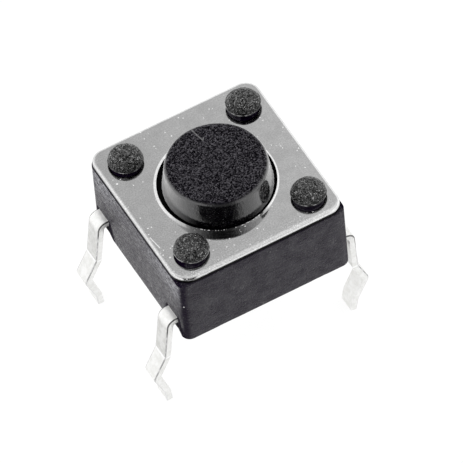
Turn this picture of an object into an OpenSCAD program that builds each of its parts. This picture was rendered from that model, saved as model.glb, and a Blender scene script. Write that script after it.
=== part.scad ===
// Tactile push button switch, 6 mm square, through-hole, with a round top-pushed button.
// Millimetres. The origin is the centre of the body's underside, where it sits on the board.
// +Z points up through the button. The leads leave the -X and +X walls and go through the board.
//
// Six pieces, named as they are assembled, from the bottom:
//   terminal_outer, terminal_centre  stamped strips, moulded into the base
//   base                             black moulding with the switch chamber and four rivet posts
//   snap_dome                        thin steel dish that gives the click and closes the contacts
//   plunger                          the button, with a flange that the cover holds in
//   cover_plate                      stamped steel, riveted on by melting the posts into heads

/* [Body] */
// Width and depth of the moulded body
body_w = 6.0; // [5.8:0.1:9]
// Height of the walls, from the board to the underside of the cover
body_h = 2.75; // [2.4:0.05:4]
// Radius of the body's four upright corners
body_corner_r = 0.3; // [0.1:0.05:0.5]
// Width of the ledge between the flange's chamber and the dome's well below it
ledge_w = 0.25; // [0.15:0.01:0.4]
// Depth of the well, from the ledge down to its floor
well_depth = 0.57; // [0.4:0.01:0.8]
// Diameter of the four ejector marks under the body
ejector_d = 0.8; // [0.5:0.1:1.2]
// Distance of each ejector mark from the body's centre, along X and along Y
ejector_off = 1.15; // [0.9:0.05:1.4]
// Depth of the ejector marks
ejector_depth = 0.05; // [0.02:0.01:0.1]

/* [Rivet posts and heads] */
// Distance from the body's walls to the middle of each post
post_inset = 0.88; // [0.8:0.01:0.95]
// Radius of a post where it passes through the cover
post_r = 0.5; // [0.4:0.01:0.6]
// Width of the neck of the head, beyond its post
neck_step = 0.06; // [0.05:0.01:0.1]
// Height of the neck, from the cover up to the rim of the head
neck_h = 0.14; // [0.05:0.01:0.3]
// Overhang of the head's rim beyond its neck
rim_step = 0.02; // [0.01:0.01:0.08]
// Height of the head above its rim
head_h = 0.38; // [0.38:0.01:0.6]
// Radius of the head's shoulder
head_shoulder_r = 0.3; // [0.1:0.01:0.31]
// Height of the head's crown above its shoulder
head_crown_h = 0.04; // [0.02:0.01:0.06]

/* [Cover plate] */
// Distance from the body's walls in to the plate's edges
plate_inset = 0.05; // [0.0:0.01:0.2]
// Thickness of the plate
plate_t = 0.2; // [0.19:0.01:0.4]
// Radius of the plate's corners
plate_corner_r = 0.55; // [0.3:0.05:0.8]
// Radius rolled onto the plate's outer edges by the punch
plate_roll_r = 0.09; // [0.02:0.01:0.09]
// Height of the lip drawn up round the button's hole, which is punched from below
hole_lip_h = 0.02; // [0.01:0.01:0.1]
// Width of that lip, from the hole out to where it meets the flat of the plate
hole_lip_w = 0.1; // [0.05:0.01:0.2]
// Width of the crest of the lip
hole_crest_w = 0.02; // [0.01:0.01:0.04]
// Gap all round between a post and its hole in the plate
post_gap = 0.04; // [0.02:0.01:0.045]

/* [Button] */
// Radius of the button where it leaves the cover
stem_r = 1.75; // [1.4:0.01:1.8]
// Gap all round between the button and its hole in the cover
stem_gap = 0.17; // [0.05:0.01:0.25]
// Amount by which the button's radius tapers up to its top fillet
stem_taper = 0.09; // [0.01:0.01:0.2]
// Height of the button above the cover when it isn't pressed
stem_up = 0.97; // [0.8:0.01:3]
// Radius of the fillet round the button's top
stem_fillet_r = 0.17; // [0.05:0.01:0.3]
// Width of the flange beyond the button, under the cover
flange_lip = 0.45; // [0.35:0.01:0.5]
// Gap all round between the flange and the chamber
flange_gap = 0.1; // [0.05:0.01:0.15]
// Thickness of the flange
flange_t = 0.5; // [0.3:0.01:0.6]
// Radius of the foot that presses the dome
foot_r = 0.8; // [0.5:0.05:1.0]
// Width of the relief round the foot, in the flange's underside
relief_w = 0.75; // [0.4:0.05:0.9]
// Depth of that relief
relief_h = 0.15; // [0.05:0.01:0.25]
// Distance the button travels down
travel = 0.25; // [0.15:0.01:0.3]
// Play above the flange, and below the foot, when the button isn't pressed
play = 0.02; // [0.01:0.005:0.04]
// Diameter of the moulding gate's mark on the button's side
gate_d = 0.6; // [0.3:0.05:0.6]
// Depth of the gate's mark
gate_depth = 0.04; // [0.02:0.01:0.08]
// Direction of the gate's mark round the button, from +X
gate_angle = -57; // [-180:1:180]
// Height of the gate's mark above the cover
gate_up = 0.42; // [0.35:0.01:0.45]

/* [Snap dome] */
// Gap all round between the dome's lip and its well
dome_gap = 0.1; // [0.05:0.01:0.2]
// Thickness of the dome's sheet
dome_t = 0.07; // [0.05:0.01:0.09]
// Width of the flat lip that rests on the contacts
dome_lip = 0.25; // [0.15:0.01:0.35]
// Depth of the two flats sheared on the dome's edge
dome_flat_cut = 0.15; // [0.05:0.01:0.2]

/* [Terminals] */
// Thickness of the terminal strip
strip_t = 0.22; // [0.15:0.01:0.3]
// Width of the strip and of its leads
strip_w = 0.64; // [0.5:0.02:0.8]
// Height of the strip's upper face, which is level with the floor of the well
strip_top = 0.78; // [0.6:0.02:1.0]
// Distance between the two rows of leads
row_pitch = 4.5; // [4.3:0.05:4.7]
// Height of the contact points above the strip
contact_h = 0.12; // [0.08:0.01:0.2]
// Radius of the four contact points under the dome's lip
contact_r = 0.15; // [0.1:0.01:0.18]
// Direction of those contact points from the centre, measured from the X axis
contact_angle = 27; // [20:1:30]
// Width of each arm that carries two of them
arm_w = 0.6; // [0.5:0.02:0.7]
// Radius of the contact under the middle of the dome
centre_r = 0.4; // [0.2:0.02:0.5]
// Width of the tongue that carries it
tongue_w = 1.0; // [0.8:0.05:1.2]

/* [Leads] */
// Distance a lead stands straight out of the wall before its first fold
lead_out = 0.08; // [0.02:0.01:0.3]
// Inside radius of the first fold
lead_fold_r = 0.1; // [0.05:0.01:0.2]
// Inside radius of the three folds of the kink
kink_fold_r = 0.06; // [0.03:0.01:0.12]
// Depth of the lead's tip below the board's upper face
lead_down = 3.1; // [2.9:0.05:3.7]
// Depth of the fold where the kink starts
kink_start = 0.93; // [0.6:0.01:1.0]
// Height of the kink's outward slope
kink_out_h = 0.87; // [0.6:0.01:0.9]
// Slope of that part, outward from the lead
kink_out_angle = 20.5; // [10:0.5:30]
// Height of the kink's inward slope
kink_in_h = 0.86; // [0.6:0.01:0.9]
// Slope of that part, inward from the lead
kink_in_angle = 29; // [15:0.5:35]
// Slope of the tip, inward from the lead
tip_angle = 13; // [0:1:14]
// Outward splay of the two leads on the -X wall
splay_neg = 7.5; // [0:0.5:10]
// Outward splay of the two leads on the +X wall
splay_pos = 1.5; // [0:0.5:10]
// Depth of the relief in the wall below each lead
relief_depth = 0.15; // [0.08:0.01:0.2]
// Extra width of that relief at the board, on each side of the lead
relief_flare = 0.22; // [0.1:0.01:0.25]

/* [Hidden] */
$fn = 96;
eps = 0.01;
// Levels, from the board upwards
strip_z = strip_top - strip_t;
lip_z = strip_top + contact_h;
dome_top = lip_z + travel + dome_t;
ledge_z = strip_top + well_depth;
foot_z = dome_top + play;
flange_top = body_h - play;
plate_top = body_h + plate_t;
stem_top = plate_top + stem_up;
fillet_z = stem_top - stem_fillet_r;
// Radii, from the button outwards and then down to the dome
stem_top_r = stem_r - stem_taper;
plate_hole_r = stem_r + stem_gap;
flange_r = stem_r + flange_lip;
chamber_r = flange_r + flange_gap;
well_r = chamber_r - ledge_w;
dome_r = well_r - dome_gap;
cap_r = dome_r - dome_lip;
contact_ring_r = dome_r - dome_lip / 2;
neck_r = post_r + neck_step;
head_r = neck_r + rim_step;
// Places in plan
plate_w = body_w - 2 * plate_inset;
post_xy = body_w / 2 - post_inset;
row_y = row_pitch / 2;
bend_x = body_w / 2 + lead_out;
contact_x = contact_ring_r * cos(contact_angle);
contact_y = contact_ring_r * sin(contact_angle);
black = [0.10, 0.10, 0.11];
tin = [0.86, 0.86, 0.85];
steel = [0.70, 0.70, 0.71];

// ---------- shared shapes ----------

// Square outline with rounded corners.
module rounded_square(w, r) {
    square([w - 2 * r, w], center = true);
    square([w, w - 2 * r], center = true);
    four_corners(w / 2 - r) circle(r);
}

// Children repeated at (+-off, +-off).
module four_corners(off) {
    for (sx = [-1, 1], sy = [-1, 1]) translate([sx * off, sy * off]) children();
}

// ---------- base ----------

// One moulding: walls, floor and the posts whose melted ends are the heads.
module base() {
    color(black) {
        difference() {
            linear_extrude(body_h) rounded_square(body_w, body_corner_r);
            chamber();
            terminal_outer_strip();
            terminal_centre_strip();
            for (side = [0, 180], sy = [-1, 1]) rotate(side) translate([0, sy * row_y, 0]) lead_relief();
            four_corners(ejector_off) translate([0, 0, -eps])
                cylinder(d = ejector_d, h = ejector_depth + eps);
        }
        four_corners(post_xy) {
            translate([0, 0, body_h]) cylinder(r = post_r, h = plate_t);
            translate([0, 0, plate_top]) rivet_head();
        }
    }
}

// The space inside the body: a guide for the flange above a well for the dome.
module chamber() {
    translate([0, 0, strip_top]) cylinder(r = well_r, h = body_h);
    translate([0, 0, ledge_z]) cylinder(r = chamber_r, h = body_h);
}

// Relief in the wall below a lead. It gets shallower sideways and wider towards the board.
module lead_relief() {
    face = body_w / 2;
    top_w = strip_w / 2;
    foot_w = top_w + relief_flare;
    intersection() {
        translate([0, 0, -eps]) linear_extrude(strip_z + 2 * eps)
            polygon([[face + eps, -foot_w], [face - relief_depth, -top_w / 2],
                     [face - relief_depth, top_w / 2], [face + eps, foot_w]]);
        translate([face - 2 * relief_depth, 0, 0]) rotate([90, 0, 90]) linear_extrude(3 * relief_depth)
            polygon([[-foot_w, -eps], [foot_w, -eps], [top_w, strip_z + eps], [-top_w, strip_z + eps]]);
    }
}

// Melted end of a post: a neck on the cover, then an overhanging head with a rounded shoulder.
module rivet_head() {
    shoulder_h = head_h - head_crown_h;
    flat_r = head_r - head_shoulder_r;
    crown_r = (flat_r * flat_r + head_crown_h * head_crown_h) / (2 * head_crown_h);
    cylinder(r = neck_r, h = neck_h + eps);
    translate([0, 0, neck_h]) rotate_extrude() {
        square([flat_r, shoulder_h]);
        square([head_r, shoulder_h - head_shoulder_r]);
        intersection() {
            translate([flat_r, shoulder_h - head_shoulder_r]) circle(head_shoulder_r);
            translate([flat_r, 0]) square([head_r, shoulder_h]);
        }
        intersection() {
            translate([0, head_h - crown_r]) circle(crown_r);
            translate([0, shoulder_h - eps]) square([flat_r, 2 * head_crown_h]);
        }
    }
}

// ---------- cover plate ----------

// Flat sheet with its outer edges rolled over and a lip round the button's hole.
module cover_plate() {
    post_hole_r = post_r + post_gap;
    color(steel) translate([0, 0, body_h]) {
        difference() {
            rolled_sheet();
            translate([0, 0, -eps]) cylinder(r = plate_hole_r, h = plate_t + 2 * eps);
            four_corners(post_xy) translate([0, 0, -eps]) cylinder(r = post_hole_r, h = plate_t + 2 * eps);
        }
        translate([0, 0, plate_t]) hole_lip();
    }
}

module rolled_sheet() {
    roll_z = plate_t - plate_roll_r;
    corner = plate_w / 2 - plate_corner_r;
    linear_extrude(roll_z) rounded_square(plate_w, plate_corner_r);
    linear_extrude(plate_t) rounded_square(plate_w - 2 * plate_roll_r, plate_corner_r - plate_roll_r);
    for (a = [0:90:270]) rotate(a) {
        translate([plate_w / 2 - plate_roll_r, corner, roll_z]) rotate([90, 0, 0])
            cylinder(r = plate_roll_r, h = 2 * corner);
        translate([corner, corner, roll_z]) rotate_extrude(angle = 90)
            translate([plate_corner_r - plate_roll_r, 0]) circle(plate_roll_r);
    }
}

// Ring that rises to a crest at the edge of the button's hole.
module hole_lip() {
    crest_r = plate_hole_r + hole_crest_w;
    edge_r = plate_hole_r + hole_lip_w;
    rotate_extrude()
        polygon([[plate_hole_r, -eps], [edge_r, -eps], [edge_r, 0], [crest_r, hole_lip_h],
                 [plate_hole_r, hole_lip_h]]);
}

// ---------- plunger ----------

// The button and, inside the body, its flange and the foot over the dome.
module plunger() {
    color(black) difference() {
        union() {
            button();
            translate([0, 0, flange_top - flange_t]) cylinder(r = flange_r, h = flange_t);
            translate([0, 0, foot_z]) cylinder(r = foot_r, h = flange_top - foot_z);
        }
        foot_relief();
        gate_mark();
    }
}

module button() {
    waist = plate_top - flange_top;
    flat_r = stem_top_r - stem_fillet_r;
    translate([0, 0, flange_top - eps]) cylinder(r = stem_r, h = waist + eps);
    rotate_extrude() {
        polygon([[0, plate_top - eps], [stem_r, plate_top - eps], [stem_r, plate_top],
                 [stem_top_r, fillet_z], [flat_r, stem_top], [0, stem_top]]);
        intersection() {
            translate([flat_r, fillet_z]) circle(stem_fillet_r);
            translate([flat_r, fillet_z]) square(stem_fillet_r);
        }
    }
}

// Ring cut into the flange's underside, so that the flange clears the dome when pressed.
module foot_relief() {
    translate([0, 0, flange_top - flange_t - eps]) difference() {
        cylinder(r = foot_r + relief_w, h = relief_h + eps);
        translate([0, 0, -eps]) cylinder(r = foot_r, h = relief_h + 3 * eps);
    }
}

// Shallow round mark where the moulding gate was cut off.
module gate_mark() {
    r_here = stem_r + (stem_top_r - stem_r) * gate_up / (fillet_z - plate_top);
    rotate(gate_angle) translate([r_here - gate_depth, 0, plate_top + gate_up]) rotate([0, 90, 0])
        cylinder(d = gate_d, h = 4 * gate_depth);
}

// ---------- snap dome ----------

// Dished disc with a flat lip, and two flats where it was sheared from its strip.
module snap_dome() {
    ball_r = (cap_r * cap_r + travel * travel) / (2 * travel);
    color(steel) translate([0, 0, lip_z]) intersection() {
        rotate_extrude() {
            translate([cap_r, 0]) square([dome_lip, dome_t]);
            intersection() {
                difference() {
                    translate([0, travel + dome_t - ball_r]) circle(ball_r);
                    translate([0, travel - ball_r]) circle(ball_r);
                }
                square([cap_r, travel + dome_t]);
            }
        }
        cube([3 * dome_r, 2 * (dome_r - dome_flat_cut), 3 * (travel + dome_t)], center = true);
    }
}

// ---------- terminals ----------

// Front strip: two leads, and two arms whose points carry the dome's lip.
module terminal_outer() {
    color(tin) {
        terminal_outer_strip();
        for (sx = [-1, 1], sy = [-1, 1]) translate([sx * contact_x, sy * contact_y, strip_top - eps])
            cylinder(r = contact_r, h = contact_h + eps);
    }
}

// Back strip: two leads, and a tongue to the contact under the middle of the dome.
module terminal_centre() {
    color(tin) {
        terminal_centre_strip();
        translate([0, 0, strip_top - eps]) cylinder(r = centre_r, h = contact_h + eps);
    }
}

module terminal_outer_strip() {
    translate([0, -row_y, 0]) lead_pair();
    for (sx = [-1, 1]) translate([sx * contact_x - arm_w / 2, -row_y, strip_z]) {
        cube([arm_w, row_y + contact_y, strip_t]);
        translate([arm_w / 2, row_y + contact_y, 0]) cylinder(d = arm_w, h = strip_t);
    }
}

module terminal_centre_strip() {
    translate([0, row_y, 0]) lead_pair();
    translate([-tongue_w / 2, 0, strip_z]) cube([tongue_w, row_y, strip_t]);
    translate([0, 0, strip_z]) cylinder(d = tongue_w, h = strip_t);
}

// The straight part of a strip through the body, with a formed lead at each end.
module lead_pair() {
    translate([-bend_x, -strip_w / 2, strip_z]) cube([2 * bend_x, strip_w, strip_t]);
    translate([bend_x, 0, strip_top]) lead(splay_pos);
    rotate(180) translate([bend_x, 0, strip_top]) lead(splay_neg);
}

// A lead, folded from its first bend down to its tip. The folds' heights and the slopes between
// them, measured outward from straight down, are those of the strip's outer face.
module lead(splay) {
    level = [strip_top, -kink_start, -kink_start - kink_out_h,
             -kink_start - kink_out_h - kink_in_h, -lead_down];
    slope = [splay, splay + kink_out_angle, splay - kink_in_angle, splay - tip_angle];
    turn = [90 - slope[0], slope[0] - slope[1], slope[1] - slope[2], slope[2] - slope[3]];
    inside_r = [lead_fold_r, kink_fold_r, kink_fold_r, kink_fold_r];
    setback = [for (i = [0:3]) (inside_r[i] + (turn[i] > 0 ? strip_t : 0)) * tan(abs(turn[i]) / 2)];
    run_setback = [for (i = [0:3]) setback[i] + (i < 3 ? setback[i + 1] : 0)];
    length = [for (i = [0:3]) (level[i] - level[i + 1]) / cos(slope[i]) - run_setback[i]];
    fold(turn[0], inside_r[0]) run(length[0])
        fold(turn[1], inside_r[1]) run(length[1])
            fold(turn[2], inside_r[2]) run(length[2])
                fold(turn[3], inside_r[3]) run(length[3]);
}

// Straight run of strip along +X, under z = 0. Its children start at its far end.
module run(length) {
    translate([0, -strip_w / 2, -strip_t]) cube([length, strip_w, strip_t]);
    translate([length, 0, 0]) children();
}

// A fold of the strip: downwards for a positive angle, upwards for a negative one.
module fold(angle, inside_r) {
    up = angle < 0;
    axis_z = up ? inside_r : -strip_t - inside_r;
    translate([0, 0, axis_z]) {
        rotate([90, 0, 0]) rotate(up ? -90 : 90 - angle) rotate_extrude(angle = abs(angle))
            translate([inside_r, -strip_w / 2]) square([strip_t, strip_w]);
        rotate([0, angle, 0]) translate([0, 0, -axis_z]) children();
    }
}

base();
terminal_outer();
terminal_centre();
snap_dome();
plunger();
cover_plate();
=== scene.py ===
"""Finished surfaces of a tactile push button switch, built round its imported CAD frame.

The frame's origin is the centre of the body's underside, and +Z points up through the button.
Shapes are worked out in millimetres and scaled to Blender's metres when a piece is finished.
"""
from math import atan2, cos, exp, pi, radians, sin, sqrt, tan

import bmesh
import bpy
from mathutils import Matrix, Vector, noise


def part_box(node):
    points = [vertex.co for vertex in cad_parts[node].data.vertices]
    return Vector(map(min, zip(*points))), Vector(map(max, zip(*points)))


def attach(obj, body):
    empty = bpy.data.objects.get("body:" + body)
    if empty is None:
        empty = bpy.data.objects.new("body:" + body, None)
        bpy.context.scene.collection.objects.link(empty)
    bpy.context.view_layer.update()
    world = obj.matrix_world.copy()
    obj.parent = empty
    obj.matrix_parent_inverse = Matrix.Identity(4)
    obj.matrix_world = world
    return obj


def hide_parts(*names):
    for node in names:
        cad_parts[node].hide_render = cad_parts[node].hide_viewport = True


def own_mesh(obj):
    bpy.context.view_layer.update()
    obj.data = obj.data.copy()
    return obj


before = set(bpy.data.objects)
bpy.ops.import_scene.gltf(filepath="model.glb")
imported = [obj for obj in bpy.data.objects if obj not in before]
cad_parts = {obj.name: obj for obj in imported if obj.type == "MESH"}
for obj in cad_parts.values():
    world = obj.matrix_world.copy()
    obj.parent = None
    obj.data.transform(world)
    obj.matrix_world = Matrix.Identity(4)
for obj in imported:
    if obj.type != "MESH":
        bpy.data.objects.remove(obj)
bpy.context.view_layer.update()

MM = 0.001


def box_mm(node):
    """Lowest and highest corners of a CAD node, in millimetres."""
    low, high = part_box(node)
    return low / MM, high / MM


_, base_high = box_mm("base")
plate_low, plate_high = box_mm("cover_plate")
plunger_low, plunger_high = box_mm("plunger")
dome_low, dome_high = box_mm("snap_dome")
strip_low, strip_high = box_mm("terminal_outer")

# ---------- sizes, in millimetres ----------

# Body
WALL = base_high.x
BODY_H = plate_low.z
BODY_CORNER_R = 0.3
BODY_EDGE_R = 0.03
BODY_FLANK_EDGE_R = 0.045
# How far the foot's edge is drawn up in places, and how quickly that dies away up the wall
FOOT_UNEVEN = 0.022
FOOT_UNEVEN_H = 0.12
SPECK_AT = (-2.915, -2.915, 1.69)
WELL_R = 2.05
WELL_DEPTH = 0.57
CHAMBER_R = 2.3
EJECTOR_R = 0.4
EJECTOR_OFF = 1.15
EJECTOR_DEPTH = 0.05

# Rivet posts and heads. The hot tool left each head a little off its post: x, y and rim height.
POST_OFF = 2.12
POST_R = 0.5
POST_ROOT = 0.2
NECK_R = 0.49
NECK_STEP = 0.01
HEAD_R = 0.58
HEAD_LIP = 0.04
HEAD_SET_IN = 0.012
HEAD_SHOULDER_R = 0.34
HEAD_CROWN_H = 0.05
HEAD_TOP = base_high.z
HEAD_SLIPS = {(-1, -1): (0.080, 0.110, 0.13), (-1, 1): (0.045, 0.067, 0.125),
              (1, 1): (0.055, 0.048, 0.19), (1, -1): (0.060, 0.105, 0.16)}

# Cover plate
PLATE_T = 0.2
PLATE_TOP = BODY_H + PLATE_T
PLATE_HALF = (plate_high.x + 0.035, plate_high.y + 0.063)
PLATE_SHIFT = (-0.024, 0.045)
PLATE_CORNER_R = (0.5, 0.5, 0.64, 0.48)
# Rolled edges: their radius, how wide the slope down to them is at least, how much wider it is
# at +X, -X, +Y and -Y, and how steep
ROLL_R = 0.07
SLOPE_LEAST = 0.02
SLOPE_WIDTHS = (0.0, 0.05, 0.0, 0.16)
SLOPE = 0.17
UNDER_EDGE = 0.015
COVER_SCRATCH = ((-2.88, -0.84, PLATE_TOP), (-2.81, -1.35, PLATE_TOP))
HOLE_R = 1.912
HOLE_SHIFT = (-0.014, -0.015)
POST_HOLE_R = 0.54
HOLE_LIP_TOP = plate_high.z
# Lip of the hole by direction, in degrees: its width, and how much of its full height it keeps
HOLE_LIP = [(-260, 0.10, 1.0), (-180, 0.10, 1.0), (-155, 0.12, 0.6), (-138, 0.12, 0.05),
            (-92, 0.10, 0.05), (-72, 0.10, 0.3), (-55, 0.07, 0.8), (-10, 0.06, 1.0), (100, 0.10, 1.0)]

# Button
STEM_R = 1.77
STEM_TOP_R = 1.66
STEM_TOP = plunger_high.z
FILLET_R = 0.17
STEM_TAPER = (STEM_R - STEM_TOP_R) / (STEM_TOP - FILLET_R - PLATE_TOP)
STEM_SHIFT = (0.017, -0.029)
FLANGE_R = plunger_high.x
FLANGE_TOP = BODY_H - 0.02
FLANGE_T = 0.5
FOOT_R = 0.8
FOOT_Z = plunger_low.z
RELIEF_W = 0.75
RELIEF_H = 0.15
GATE_ANGLE = radians(-57)
GATE_R = 0.3
GATE_DEPTH = 0.04
GATE_Z = PLATE_TOP + 0.42
DUSTY_ANGLE = radians(-22)
BUTTON_SCRATCH = ((-0.02, 1.60), (0.10, 0.97), (0.16, 1.04))

# Snap dome
DOME_T = 0.07
DOME_R = dome_high.x
DOME_LIP = 0.25
LIP_Z = dome_low.z

# Terminals
STRIP_T = 0.22
STRIP_W = 0.64
STRIP_TOP = 0.78
STRIP_EDGE = 0.035
ROW_Y = 2.25
CONTACT_TOP = strip_high.z
CONTACT_R = 0.15
CONTACT_RING_R = DOME_R - DOME_LIP / 2
CONTACT_ANGLE = radians(27)
ARM_W = 0.6
CENTRE_R = 0.4
TONGUE_W = 1.0
BEND_X = WALL + 0.08
FOLD_R = 0.1
KINK_R = 0.06
KINK_LEVELS = (-0.93, -1.80, -2.66, strip_low.z)
KINK_SLOPES = (0, 20.5, -29, -13)
SPLAY = {-1: 7.5, 1: 1.5}
BEND_STEPS = 10
RUN_STEPS = 4
LEAD_RELIEF = 0.06
LEAD_FLARE = 0.22

# The signs of X and Y at the four corners
CORNERS = [(-1, -1), (-1, 1), (1, -1), (1, 1)]
# How far an outline is inset to find which way is out at each of its points
INSET = 0.1
# Faces that meet at more than this keep a sharp edge between them
SHARP_ANGLE = radians(35)


# ---------- mesh tools ----------

def arc(centre, radius, start, end, steps):
    """Points on an arc from start to end, in degrees."""
    turns = [radians(start + (end - start) * i / steps) for i in range(steps + 1)]
    return [(centre[0] + radius * cos(a), centre[1] + radius * sin(a)) for a in turns]


def rounded_outline(half, radii, centre=(0, 0), inset=0.0, corner_steps=10, side_steps=60):
    """Points round a rectangle with rounded corners, anticlockwise from the corner at +X +Y."""
    points = []
    for k, radius in enumerate(radii):
        sign_x, sign_y = [(1, 1), (-1, 1), (-1, -1), (1, -1)][k]
        middle = (centre[0] + sign_x * (half[0] - radius), centre[1] + sign_y * (half[1] - radius))
        corner = arc(middle, radius - inset, 90 * k, 90 * k + 90, corner_steps)
        if points:
            points += between(points[-1], corner[0], side_steps)
        points += corner
    return points + between(points[-1], points[0], side_steps)


def between(start, end, steps):
    """Points that split a straight line, without its two ends."""
    return [tuple(a + (b - a) * i / steps for a, b in zip(start, end)) for i in range(1, steps)]


def ring_of(points, z):
    """Flat outline lifted to a level."""
    return [(x, y, z) for x, y in points]


def outward(outline, inset_outline):
    """Directions out of a shape, at the points of its outline."""
    return [((x - u) / INSET, (y - v) / INSET) for (x, y), (u, v) in zip(outline, inset_outline)]


def circle(radius, centre=(0, 0), steps=192):
    return arc(centre, radius, 0, 360, steps)[:-1]


def skin(bm, rings, material=0):
    """Joins closed rings of points that have as many points each. Returns their vertices."""
    made = [[bm.verts.new(p) for p in ring] for ring in rings]
    for low, high in zip(made, made[1:]):
        for i in range(len(low)):
            j = (i + 1) % len(low)
            bm.faces.new((low[i], low[j], high[j], high[i])).material_index = material
    return made


def loft(bm, rings):
    """Closed solid through rings of points, with flat ends. Returns their vertices."""
    made = skin(bm, rings)
    bm.faces.new(made[0][::-1])
    bm.faces.new(made[-1])
    return made


def lathe(bm, profile, centre=(0, 0), steps=192, material=0):
    """Closed solid turned round a vertical axis, from (radius, z) points that start and end on it."""
    rows = []
    for radius, z in profile:
        if radius < 1e-6:
            rows.append([bm.verts.new((centre[0], centre[1], z))])
        else:
            rows.append([bm.verts.new(p) for p in ring_of(circle(radius, centre, steps), z)])
    for low, high in zip(rows, rows[1:]):
        for i in range(steps):
            j = (i + 1) % steps
            corners = [low[i % len(low)], low[j % len(low)], high[j % len(high)], high[i % len(high)]]
            corners = list(dict.fromkeys(corners))
            if len(corners) > 2:
                bm.faces.new(corners).material_index = material


def draft(name, bm, materials=()):
    """A loose object from a bmesh, still in millimetres."""
    bmesh.ops.recalc_face_normals(bm, faces=bm.faces)
    mesh = bpy.data.meshes.new(name)
    bm.to_mesh(mesh)
    bm.free()
    for material in materials:
        mesh.materials.append(material)
    piece = bpy.data.objects.new(name, mesh)
    bpy.context.collection.objects.link(piece)
    return piece


def combine(piece, other, operation, keep_other=False):
    """Boolean of two drafts, applied to the first one."""
    modifier = piece.modifiers.new(operation, "BOOLEAN")
    modifier.operation = operation
    modifier.solver = "EXACT"
    modifier.object = other
    result = piece.evaluated_get(bpy.context.evaluated_depsgraph_get())
    mesh = bpy.data.meshes.new_from_object(result)
    piece.modifiers.clear()
    piece.data = mesh
    if not keep_other:
        bpy.data.objects.remove(other)


def finish_piece(piece, body, node):
    """Turns a draft into a piece of the object: in metres, smooth shaded, riding on its body."""
    mesh = piece.data
    mesh.transform(Matrix.Scale(MM, 4))
    mesh.shade_smooth()
    mesh.set_sharp_from_angle(angle=SHARP_ANGLE)
    normals = piece.modifiers.new("flat faces stay flat", "WEIGHTED_NORMAL")
    normals.keep_sharp = True
    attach(piece, body)
    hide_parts(node)


# ---------- material tools ----------

def numbered(values):
    """Values for a node's first, second and further sockets."""
    return {f"_{i}": value for i, value in enumerate(values)}


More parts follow.
